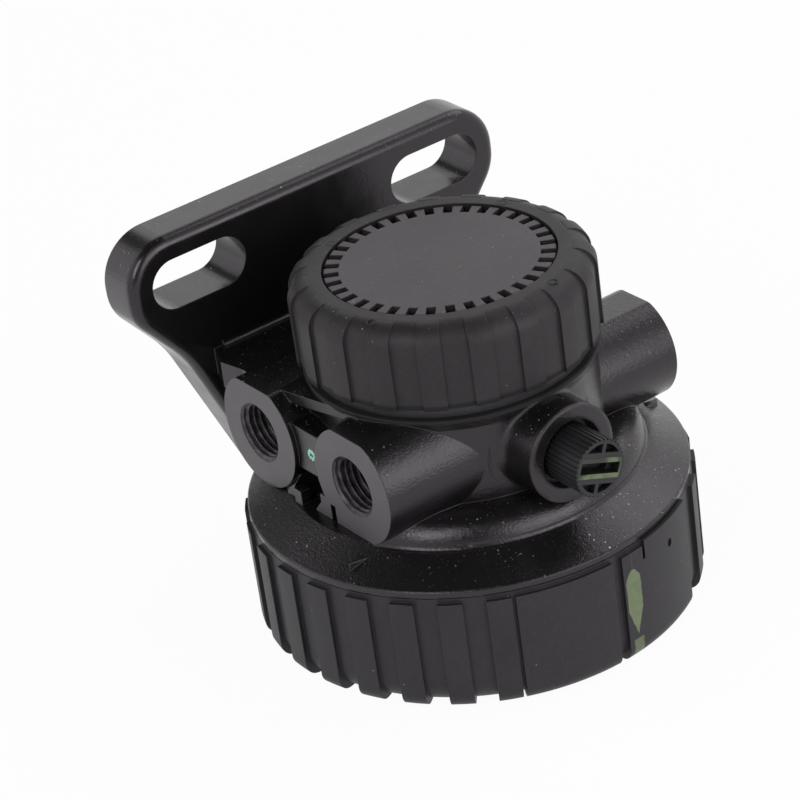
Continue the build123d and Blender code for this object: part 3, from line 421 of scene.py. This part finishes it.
class Finish(NodeChain):
    """A material under construction: a principled shader, with node chains on Object coordinates.
    Every position is in millimetres."""

    def __init__(self, name, tint=(1.0, 0.92, 0.99)):
        self.material = bpy.data.materials.new(name)
        self.material.use_nodes = True
        super().__init__(self.material.node_tree)
        self.shader = self.tree.nodes["Principled BSDF"]
        self.set(Specular_Tint=(*tint, 1.0))
        coordinates = self.add("ShaderNodeTexCoord")
        self.position = self.vector("SCALE", coordinates.outputs["Object"], 1 / MM)
        self.geometry = self.add("ShaderNodeNewGeometry")
        split = self.add("ShaderNodeSeparateXYZ", Vector=self.position)
        self.x, self.y, self.z = split.outputs
        facing = self.add("ShaderNodeSeparateXYZ", Vector=self.geometry.outputs["True Normal"])
        self.nx, _, self.nz = facing.outputs

    def set(self, **inputs):
        """Joins the shader's own inputs."""
        for key, value in inputs.items():
            self.join(self.shader.inputs[key.replace("_", " ")], value)

    def noise(self, size, detail=2.0, roughness=0.5, contrast=None, stretch=None):
        """Noise with features of that size. A contrast spreads the values between its two numbers
        over nothing to all. A stretch multiplies the position along each axis first."""
        position = self.vector("MULTIPLY", self.position, stretch) if stretch else self.position
        value = self.add(
            "ShaderNodeTexNoise",
            Vector=position, Scale=1 / size, Detail=detail, Roughness=roughness,
        ).outputs[0]
        return self.ramp(value, *contrast) if contrast else value

    def wobble(self, size, amount):
        """Noise that goes half that amount up and down, for ragged outlines."""
        return self.times(self.less(self.noise(size), 0.5), amount)

    def blend(self, share, a, b):
        """Colour a where share is nothing, b where it is all."""
        a, b = (c if isinstance(c, bpy.types.NodeSocket) else (*c, 1.0) for c in (a, b))
        return self.mix("RGBA", share, a, b)

    def number(self, share, a, b):
        """Number a where share is nothing, b where it is all."""
        return self.mix("FLOAT", share, a, b)

    def distance(self, place):
        """Distance from a place on the object."""
        return self.vector("DISTANCE", self.position, place)

    def from_axis(self):
        """Distance from the upright axis."""
        return self.vector("LENGTH", self.vector("MULTIPLY", self.position, (1, 1, 0)))

    def turn(self):
        """Turn about the upright axis, in radians."""
        return self.maths("ARCTAN2", self.y, self.x)

    def around(self, radius):
        """A plane unrolled round the upright axis at that radius: length along it, and height."""
        length = self.times(self.turn(), radius)
        return self.add("ShaderNodeCombineXYZ", X=length, Y=self.z).outputs[0]

    def specks(self, spacing, size, share, plane=None):
        """Sparse round specks: a dot of that radius in a share of the cells of that spacing, on a
        plane that is seen from above unless another is given."""
        cell = self.add(
            "ShaderNodeTexVoronoi", {"voronoi_dimensions": "2D"},
            Vector=plane or self.position, Scale=1 / spacing,
        )
        radius = size / spacing
        dot = self.ramp(cell.outputs["Distance"], radius / 2, radius, 1.0, 0.0)
        pick = self.add("ShaderNodeSeparateXYZ", Vector=cell.outputs["Color"]).outputs[0]
        return self.times(dot, self.maths("LESS_THAN", pick, share))

    def soft_edges(self, radius):
        """The normal with its edges rounded to that radius."""
        reach = radius * MM if isinstance(radius, float) else self.times(radius, MM)
        return self.add("ShaderNodeBevel", {"samples": 6}, Radius=reach).outputs[0]

    def edge_share(self, rounded):
        """Nothing on open faces, up to all where the rounded normal turns away at an edge."""
        agreement = self.vector("DOT_PRODUCT", rounded, self.geometry.outputs["Normal"])
        return self.ramp(agreement, 0.995, 0.80)

    def bump(self, height, depth, normal=None):
        """Bump from a height of nothing to one, that stands for that depth in millimetres."""
        node = self.add("ShaderNodeBump", Distance=depth * MM, Height=height)
        if normal is not None:
            self.join(node.inputs["Normal"], normal)
        return node.outputs[0]


def shade(tint, amount):
    """A colour times an amount, which may be one number or one for each channel."""
    return tuple(np.multiply(tint, amount).tolist())


# Finishes


def turned_faces(f):
    """All on the turned faces of the ports, nothing on the cast skin."""
    left = f.times(
        f.past(f.x, LEFT_FACES_X, -0.05), f.past(f.nx, -0.9, -0.08), f.past(f.z, LEFT_FACES_Z, 0.2)
    )
    right = f.times(f.past(f.x, RIGHT_FACE_X, 0.05), f.past(f.nx, 0.9, 0.08))
    return f.most(left, right)


def coat_normal(f, peel_size, soft, turned):
    """Orange peel, slow waves and fine grain on the cast skin, and fine rings on the turned faces.
    What lies behind the blasted front of the casting is smoother."""
    fine = f.noise(0.42, roughness=0.6)
    blasted = f.ramp(f.y, SMOOTH_Y, BLASTED_Y, 0.25, 1.0)
    peel = f.times(f.noise(peel_size, 1.5, 0.4), 0.85, blasted)
    waves = f.times(f.noise(9.0, 1.0), 1.8)
    cast = f.bump(f.plus(peel, waves, f.times(fine, 1.7, blasted)), 0.05, soft)
    behind = f.maths("GREATER_THAN", f.y, BETWEEN_PORTS_Y)
    across = f.less(f.y, f.number(behind, FRONT_PORT_Y, REAR_PORT_Y))
    rise = f.less(f.z, PORTS_Z)
    from_port = f.vector("LENGTH", f.add("ShaderNodeCombineXYZ", X=across, Y=rise).outputs[0])
    rings = f.add(
        "ShaderNodeTexNoise", {"noise_dimensions": "1D"}, W=from_port, Scale=4.5, Detail=3.0
    ).outputs[0]
    cut = f.bump(f.plus(f.times(rings, 0.4), f.times(fine, 0.5)), 0.02, soft)
    return f.mix("VECTOR", turned, cast, cut)


def coat_dust(f, amount):
    """White grains and a thin film, where the casting is level and near its two dusty places."""
    level = f.ramp(f.nz, 0.1, 0.8)
    patches = f.noise(14.0, contrast=(0.46, 0.62))
    grains = f.most(
        f.specks(0.8, 0.080, 0.14), f.specks(1.9, 0.16, 0.17), f.specks(4.2, 0.26, 0.20)
    )
    near_front = f.ramp(f.distance(DUSTY_FRONT), 28.0, 12.0, 0.30, 1.0)
    near_boss = f.ramp(f.distance(DUSTY_BOSS), 11.0, 4.0)
    heavy = f.times(f.most(near_front, near_boss), level)
    grains = f.times(grains, f.number(patches, 0.30, 1.0), heavy, amount)
    haze = f.noise(0.5, 3.0, 0.7, contrast=(0.62, 0.72))
    film = f.times(haze, f.number(patches, 0.2, 1.0), heavy, 0.05)
    return f.most(grains, film)


def paint_ring(f):
    """The inspection mark: a ragged ring of paint, bare at its middle, on what faces left."""
    reach = f.plus(f.distance(PAINT_MARK), f.wobble(0.45, 1.3))
    off_ring = f.maths("ABSOLUTE", f.less(reach, PAINT_MARK_R))
    return f.times(f.past(off_ring, 0.42, -0.12), f.past(f.nx, -0.5, -0.3))


def coating_finish(settings):
    """Black semi-gloss coat on the casting, with its turned port faces, edges lightened partly as
    wear and partly as painted highlight, paint mark, dust, and painted shade on the neck's rim under
    the knob."""
    f = Finish("black_coating")
    # The cast edges of the vent's boss are rounder than the rest
    vent_boss = f.times(f.past(f.y, VENT_BOSS_Y, -2.0), f.past(f.z, VENT_BOSS_Z, 1.0))
    soft = f.soft_edges(f.number(vent_boss, 0.35, 1.5))
    turned = turned_faces(f)
    paint = paint_ring(f)
    dust = coat_dust(f, settings.dust)
    # Painted shade: the neck's rim under the knob goes near black, where the knob shades the gap
    rim = f.times(f.past(f.z, NECK_RIM_Z, 0.5), f.past(f.from_axis(), NECK_RIM_R, -1.0))
    mottle = f.noise(5.0, 3.0)
    # Edges lightened partly as wear and partly as painted highlight
    base = f.blend(f.times(f.edge_share(soft), 0.6), settings.coating, COAT_EDGE_WEAR_AND_HIGHLIGHT)
    base = f.blend(f.times(turned, f.ramp(mottle, 0.2, 0.8, 0.85, 1.0)), base, settings.machined)
    base = f.blend(paint, base, settings.paint_dot)
    base = f.blend(dust, base, WHITE_DUST)
    base = f.blend(rim, base, KNOB_GAP_SHADE)
    plain = settings.coating_roughness
    rough = f.ramp(mottle, 0.3, 0.7, plain - 0.03, plain + 0.05)
    rough = f.number(turned, rough, 0.48)
    rough = f.number(f.most(dust, paint), rough, 0.75)
    rough = f.number(rim, rough, 0.78)
    normal = coat_normal(f, settings.peel_size / MM, soft, turned)
    f.set(Base_Color=base, Roughness=rough, Normal=normal)
    return f.material


def plastic_finish(name, tint, roughness, grain, edge_wear_and_highlight=0.35, gloss=0.36, extra=None):
    """Charcoal moulded plastic: a fine spark grain, cloudy smudges, edges lightened partly as wear
    and partly as painted highlight, faint scuffs, rubbed patches and a few specks of dust. Extra
    adds what only one piece has."""
    f = Finish(name)
    soft = f.soft_edges(0.25)
    cloud = f.noise(11.0, 3.0, 0.6)
    scuffs = f.noise(1.25, 4.0, 0.65, contrast=(0.56, 0.74), stretch=(0.5, 0.5, 3.5))
    rubbed = f.noise(3.2, 4.0, 0.65, contrast=(0.52, 0.74))
    mottle = f.plus(f.times(cloud, 0.6), f.times(f.noise(0.8, roughness=0.6), 0.4))
    base = f.blend(f.ramp(mottle, 0.35, 0.65), shade(tint, 0.78), shade(tint, 1.24))
    # The edges are lightened partly as wear and partly as painted highlight; scuffs and rubbed
    # patches are wear
    for share, amount, lift in (
        (f.edge_share(soft), edge_wear_and_highlight, 3.2),
        (scuffs, 0.16, 2.2),
        (rubbed, 0.22, (2.3, 2.1, 1.9)),
    ):
        base = f.blend(f.times(share, amount), base, shade(tint, lift))
    grains = f.most(f.specks(5.0, 0.14, 0.22), f.specks(1.6, 0.07, 0.08))
    dust_top = f.times(grains, f.ramp(f.nz, 0.3, 0.8))
    side_grains = f.specks(6.0, 0.12, 0.07, f.around(DUST_WRAP_R))
    dust_side = f.times(side_grains, f.ramp(f.nz, 0.5, 0.2))
    base = f.blend(f.times(f.most(dust_top, dust_side), 0.7), base, GREY_DUST)
    rough = f.ramp(cloud, 0.3, 0.7, roughness - 0.03, roughness + 0.03)
    if extra:
        base, rough = extra(f, base, rough)
    normal = f.bump(f.noise(grain, roughness=0.6), 0.034, soft)
    f.set(Base_Color=base, Roughness=rough, Specular_IOR_Level=gloss, Normal=normal)
    return f.material


def knob_finish(settings, foot):
    """Knob plastic, darkened to near black along the foot of its skirt: painted shade of the gap
    over the neck.
    """

    def gap_shaded(f, base, rough):
        # Painted shade: the skirt's foot goes near black above the gap over the neck
        low = f.past(f.z, foot + KNOB_GAP_SHADE_HEIGHT, -0.8)
        return f.blend(f.times(low, 0.85), base, KNOB_GAP_SHADE), f.number(low, rough, 0.8)

    return plastic_finish("knob_plastic", settings.knob, roughness=0.52, grain=0.30, extra=gap_shaded)


def collar_finish(settings):
    """Collar plastic with the green mark painted down its tab. The mark is round at its top and
    drawn to a point at its foot, with a short dab under the point."""

    def stripe(f, base, rough):
        ragged = f.wobble(1.3, 1.1)
        turn = f.plus(f.times(f.turn(), 180 / math.pi), f.times(ragged, 0.35))
        across = f.maths("ABSOLUTE", f.less(turn, GREEN_MARK_TURN))
        height = f.plus(f.z, f.times(ragged, 0.5))
        top = f.ramp(height, GREEN_MARK_TOP - 2.5, GREEN_MARK_TOP, 1.0, 0.0, smooth=False)
        foot = f.ramp(height, GREEN_MARK_FOOT, GREEN_MARK_FOOT + 6.5, smooth=False)
        half_width = f.times(f.maths("SQRT", top), foot, GREEN_MARK_HALF)
        mark = f.past(f.less(across, half_width), 0.12, -0.24)
        mark = f.times(mark, f.past(height, GREEN_MARK_FOOT - 0.2, 0.5))
        dab = f.times(f.past(across, GREEN_DAB_HALF, -0.2), f.past(f.z, GREEN_DAB_TOP, -0.3))
        worn = f.noise(2.2, 3.0, contrast=(0.30, 0.55))
        outside = f.past(f.from_axis(), GREEN_MARK_R, 0.6)
        mark = f.times(f.most(mark, f.times(dab, 0.8)), outside, f.number(worn, 0.82, 1.0))
        return f.blend(mark, base, settings.collar_green), f.number(mark, rough, 0.42)

    return plastic_finish(
        "collar_plastic", settings.collar, roughness=0.50, grain=0.32, edge_wear_and_highlight=0.45, extra=stripe
    )


def vent_green_finish(settings, front):
    """Dull green acetal of the vent screw's head: paler on its outer edges, partly as wear and
    partly as painted highlight, and near black with painted shade a little way in from its front
    face, in the slot. The upper rail is darkened too, but for its right end."""
    f = Finish("vent_green", (1.0, 1.0, 0.94))
    soft = f.soft_edges(0.2)
    grime = f.noise(1.6, 3.0, contrast=(0.42, 0.72))
    base = f.blend(f.times(grime, 0.35), settings.vent_green, GREEN_GRIME)
    # Edges paler partly as wear and partly as painted highlight
    base = f.blend(f.times(f.edge_share(soft), 0.35), base, GREEN_EDGE_WEAR_AND_HIGHLIGHT)
    # The upper rail is darkened, but for its right end, and the head's ends a little
    upper = f.times(f.past(f.z, RAIL_Z, 1.0), f.past(f.x, RAIL_LIGHT_END_X, -1.6))
    ends = f.past(f.maths("ABSOLUTE", f.x), HEAD_END_X, 0.5)
    base = f.blend(f.most(f.times(upper, 0.98), f.times(ends, 0.7)), base, RAIL_DARKENING)
    # Painted shade: past about half a millimetre behind the front face, in the slot, the head goes
    # near black
    base = f.blend(f.ramp(f.less(f.y, front), 0.06, 0.45), base, SLOT_DEPTH_SHADE)
    rough = f.number(grime, 0.42, 0.6)
    f.set(Base_Color=base, Roughness=rough, Normal=f.bump(f.noise(0.3), 0.015, soft))
    return f.material


def rubber_finish(settings):
    """Nitrile rubber: matt, a little bloom and moulding grain."""
    f = Finish("seal_rubber")
    bloom = f.noise(2.5, 3.0, contrast=(0.45, 0.75))
    base = f.blend(f.times(bloom, 0.5), settings.rubber, RUBBER_BLOOM)
    rough = f.number(bloom, 0.55, 0.75)
    f.set(Base_Color=base, Roughness=rough, Normal=f.bump(f.noise(0.25), 0.01))
    return f.material


def acetal_finish(settings):
    """Natural acetal: waxy off-white with faint flow lines."""
    f = Finish("white_acetal")
    flow = f.noise(1.0, 3.0, stretch=(0.12, 0.12, 0.96))
    base = f.blend(flow, settings.acetal, shade(settings.acetal, 0.86))
    f.set(Base_Color=base, Roughness=0.38, Normal=f.bump(f.noise(0.5), 0.008, f.soft_edges(0.2)))
    return f.material


def steel_finish(name, tint, roughness):
    """Zinc plate on steel: a faint crystalline mottle and drawn lines."""
    f = Finish(name)
    mottle = f.noise(0.7, 3.0, 0.6)
    lines = f.noise(1.0, stretch=(6, 6, 0.4))
    base = f.blend(mottle, shade(tint, 0.8), tint)
    rough = f.ramp(lines, 0.3, 0.7, roughness - 0.08, roughness + 0.1)
    normal = f.bump(mottle, 0.008, f.soft_edges(0.15))
    f.set(Base_Color=base, Metallic=1.0, Roughness=rough, Normal=normal)
    return f.material


def thread_finish(settings):
    """Cut metal of the threads, thinly coated: grey flanks with drag marks."""
    f = Finish("cut_thread")
    shadows = f.noise(1.8, contrast=(0.35, 0.7))
    base = f.blend(shadows, shade(settings.machined, 0.35), shade(settings.machined, 1.1))
    drag = f.bump(f.noise(0.35, 3.0, 0.6), 0.012)
    f.set(Base_Color=base, Metallic=0.35, Roughness=0.36, Normal=drag)
    return f.material


def dress(material, *nodes):
    """Gives CAD nodes one material over all their faces."""
    for node in nodes:
        mesh = frame["nodes"][node].data
        mesh.materials.clear()
        mesh.materials.append(material)
        mesh.polygons.foreach_set("material_index", np.zeros(len(mesh.polygons), dtype=np.int32))
        mesh.update()


# Operators


class PRIMER_OT_casting(Operator):
    """Coats the casting and finishes the pump, the valves and the seals inside it"""

    bl_idname = "primer.casting"
    bl_label = "Casting"

    def execute(self, context):
        settings = context.scene.primer_finish
        dress(coating_finish(settings), "head_casting")
        dress(
            rubber_finish(settings),
            "filter_seal", "spud_seal", "barrel_seal", "stem_wiper",
            "inlet_valve", "outlet_valve", "piston_seal", "vent_seal",
        )
        dress(
            plastic_finish("inner_plastic", settings.inner, roughness=0.42, grain=0.4),
            "valve_plate", "pump_barrel", "barrel_cap", "filter_spud",
        )
        dress(acetal_finish(settings), "piston")
        dress(
            steel_finish("zinc_plate", settings.steel, 0.32),
            "barrel_screws", "knob_washer", "knob_screw",
        )
        dress(steel_finish("spring_wire", shade(settings.steel, 0.75), 0.28), "collar_ring")
        return {"FINISHED"}


class PRIMER_OT_knob(Operator):
    """Finishes the primer knob and its cover and adds the moulding marks"""

    bl_idname = "primer.knob"
    bl_label = "Primer Knob"

    def execute(self, context):
        settings = context.scene.primer_finish
        marks = context.scene.primer_marks
        low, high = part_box("primer_knob")
        knob = knob_finish(settings, low.z / MM)
        dress(knob, "primer_knob")
        cover = plastic_finish(
            "cover_plastic", settings.cover, roughness=0.46, grain=0.35, gloss=0.48
        )
        dress(cover, "knob_cover")
        for number, (turn, reach) in enumerate(KNOB_MARKS, 1):
            x, y = (reach * MM * part(math.radians(turn)) for part in (math.cos, math.sin))
            points = ring_mark_points((x, y, high.z - marks.sink), marks.radius, marks.wire)
            mesh = closed_grid("knob_mark", points)
            place(f"knob_mark_{number}", mesh, knob, "knob", "knob_plastic")
        return {"FINISHED"}


class PRIMER_OT_collar(Operator):
    """Finishes the locking collar with its green mark"""

    bl_idname = "primer.collar"
    bl_label = "Locking Collar"

    def execute(self, context):
        dress(collar_finish(context.scene.primer_finish), "locking_collar")
        return {"FINISHED"}


class PRIMER_OT_vent(Operator):
    """Finishes the vent screw: black knurled sleeve and dull green head"""

    bl_idname = "primer.vent"
    bl_label = "Vent Screw"

    def execute(self, context):
        settings = context.scene.primer_finish
        sleeve = plastic_finish(
            "vent_plastic", settings.vent, roughness=0.40, grain=0.25, edge_wear_and_highlight=0.5
        )
        dress(sleeve, "vent_knob")
        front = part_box("vent_stem")[0].y / MM
        dress(vent_green_finish(settings, front), "vent_stem")
        return {"FINISHED"}


class PRIMER_OT_threads(Operator):
    """Adds the cut threads of the three ports"""

    bl_idname = "primer.threads"
    bl_label = "Port Threads"

    def execute(self, context):
        settings = context.scene.primer_threads
        metal = thread_finish(context.scene.primer_finish)
        ports = [mount for mount in frame["record"]["mounts"] if mount["kind"] == "threaded_hole"]
        if not ports:
            raise RuntimeError("the record states no threaded ports")
        for port in ports:
            length = port["dims"]["length_mm"] * MM
            root = port["dims"]["r_mm"] * MM - settings.clearance - settings.wall
            mouth = np.array(port["pos_m"]) + np.array(port["axis"]) * length / 2
            points = thread_points(mouth, port["axis"], root, length, settings)
            mesh = closed_grid("thread", points)
            place(port["name"] + "_thread", mesh, metal, "head", "head_coating")
        return {"FINISHED"}


class PRIMER_OT_stage(Operator):
    """Sets up the floor, the lamps, the world and the camera"""

    bl_idname = "primer.stage"
    bl_label = "Studio"

    def execute(self, context):
        settings = context.scene.primer_stage
        scene = context.scene
        scene.view_settings.view_transform = "Standard"
        self.floor(scene, settings)
        self.world(scene)
        low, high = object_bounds()
        for name, power, width, height, distance, turn, rise in LAMPS:
            lamp = self.lamp(scene, name, (low + high) / 2, distance, turn, rise)
            lamp.size, lamp.size_y = width, height
            lamp.energy = getattr(settings, power)
        self.camera(scene, settings)
        return {"FINISHED"}

    def floor(self, scene, settings):
        """A round floor that stays white to the camera and to gloss, and takes the shadow."""
        angle = np.linspace(0, 2 * math.pi, FLOOR_CORNERS, endpoint=False)
        rim = np.stack([np.cos(angle), np.sin(angle), 0 * angle], axis=-1) * settings.floor_radius
        mesh = bpy.data.meshes.new("floor")
        mesh.from_pydata(rim.tolist(), [], [list(range(FLOOR_CORNERS))])
        floor = bpy.data.objects.new("floor", mesh)
        scene.collection.objects.link(floor)
        material = bpy.data.materials.new("white_floor")
        material.use_nodes = True
        tree = material.node_tree
        shader = tree.nodes["Principled BSDF"]
        shader.inputs["Base Color"].default_value = (*settings.floor, 1.0)
        shader.inputs["Roughness"].default_value = 0.9
        f = NodeChain(tree)
        rays = f.add("ShaderNodeLightPath").outputs
        seen = f.most(rays["Is Camera Ray"], rays["Is Glossy Ray"], rays["Is Transmission Ray"])
        glow = f.add("ShaderNodeEmission", Strength=1.0).outputs[0]
        surface = f.mix_shaders(f.times(seen, FLOOR_GLOW), shader.outputs[0], glow)
        f.join(tree.nodes["Material Output"].inputs["Surface"], surface)
        mesh.materials.append(material)
        floor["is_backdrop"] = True

    def world(self, scene):
        """White to the camera. To the object it is a pale room: about as bright as white all round,
        with a dark ceiling, and darker or brighter upright strips at the turns in ROOM_SIDES."""
        world = bpy.data.worlds.new("studio")
        scene.world = world
        world.use_nodes = True
        tree = world.node_tree
        w = NodeChain(tree)
        direction = w.add("ShaderNodeTexCoord").outputs["Generated"]
        rise = w.add("ShaderNodeSeparateXYZ", Vector=direction).outputs[2]
        level = w.vector("NORMALIZE", w.vector("MULTIPLY", direction, (1, 1, 0)))
        room = w.ramp(rise, CEILING_START, CEILING_FULL, 1.0, CEILING_LIGHT)
        for turn, outer, inner, light in ROOM_SIDES:
            angle = math.radians(turn)
            nearness = w.vector("DOT_PRODUCT", level, (math.cos(angle), math.sin(angle), 0.0))
            edge, core = math.cos(math.radians(outer)), math.cos(math.radians(inner))
            room = w.times(room, w.ramp(nearness, edge, core, 1.0, light))
        sky = tree.nodes["Background"]
        w.join(sky.inputs["Color"], room)
        white = w.add("ShaderNodeBackground", Color=(1, 1, 1, 1)).outputs[0]
        camera_ray = w.add("ShaderNodeLightPath").outputs["Is Camera Ray"]
        surface = w.mix_shaders(camera_ray, sky.outputs[0], white)
        w.join(tree.nodes["World Output"].inputs["Surface"], surface)

    def lamp(self, scene, name, middle, distance, turn, rise):
        """The light of a soft box at a turn about the upright axis and a rise above the level, both
        in degrees, that looks at the middle of the object."""
        data = bpy.data.lights.new(name, "AREA")
        data.shape = "RECTANGLE"
        lamp = bpy.data.objects.new(name, data)
        scene.collection.objects.link(lamp)
        turn, rise = math.radians(turn), math.radians(rise)
        reach = math.cos(rise)
        out = Vector((math.cos(turn) * reach, math.sin(turn) * reach, math.sin(rise)))
        lamp.location = middle + out * distance
        lamp.rotation_euler = out.to_track_quat("Z", "Y").to_euler()
        return data

    def camera(self, scene, settings):
        """The camera at the photograph's angle, from its right and up directions."""
        right = Vector(settings.right).normalized()
        up = Vector(settings.up)
        up = (up - right * up.dot(right)).normalized()
        back = right.cross(up)
        data = bpy.data.cameras.new("camera")
        data.lens = settings.lens
        data.sensor_width = SENSOR_WIDTH
        data.clip_start, data.clip_end = CLIP_START, CLIP_END
        camera = bpy.data.objects.new("camera", data)
        scene.collection.objects.link(camera)
        turn = Matrix((right, up, back)).transposed().to_4x4()
        camera.matrix_world = Matrix.Translation(Vector(settings.eye)) @ turn
        scene.camera = camera


class PRIMER_PT_panel(Panel):
    """The operators and their settings in the sidebar"""

    bl_idname = "PRIMER_PT_panel"
    bl_label = "Priming Pump"
    bl_space_type = "VIEW_3D"
    bl_region_type = "UI"
    bl_category = "Priming Pump"

    def draw(self, context):
        finishes = (PRIMER_OT_casting, PRIMER_OT_knob, PRIMER_OT_collar, PRIMER_OT_vent)
        for settings, operators in (
            ("primer_finish", finishes),
            ("primer_marks", ()),
            ("primer_threads", (PRIMER_OT_threads,)),
            ("primer_stage", (PRIMER_OT_stage,)),
        ):
            box = self.layout.box()
            group = getattr(context.scene, settings)
            for key in group.bl_rna.properties.keys():
                if key not in ("rna_type", "name"):
                    box.prop(group, key)
            for operator in operators:
                box.operator(operator.bl_idname)


CLASSES = (
    FinishSettings,
    ThreadSettings,
    MarkSettings,
    StageSettings,
    PRIMER_OT_casting,
    PRIMER_OT_knob,
    PRIMER_OT_collar,
    PRIMER_OT_vent,
    PRIMER_OT_threads,
    PRIMER_OT_stage,
    PRIMER_PT_panel,
)


def register():
    for item in CLASSES:
        bpy.utils.register_class(item)
    bpy.types.Scene.primer_finish = PointerProperty(type=FinishSettings)
    bpy.types.Scene.primer_threads = PointerProperty(type=ThreadSettings)
    bpy.types.Scene.primer_marks = PointerProperty(type=MarkSettings)
    bpy.types.Scene.primer_stage = PointerProperty(type=StageSettings)


def unregister():
    for name in ("primer_stage", "primer_marks", "primer_threads", "primer_finish"):
        delattr(bpy.types.Scene, name)
    for item in reversed(CLASSES):
        bpy.utils.unregister_class(item)


def main():
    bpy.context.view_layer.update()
    register()
    bpy.ops.primer.casting()
    bpy.ops.primer.knob()
    bpy.ops.primer.collar()
    bpy.ops.primer.vent()
    bpy.ops.primer.threads()
    bpy.ops.primer.stage()


if __name__ == "__main__":
    main()
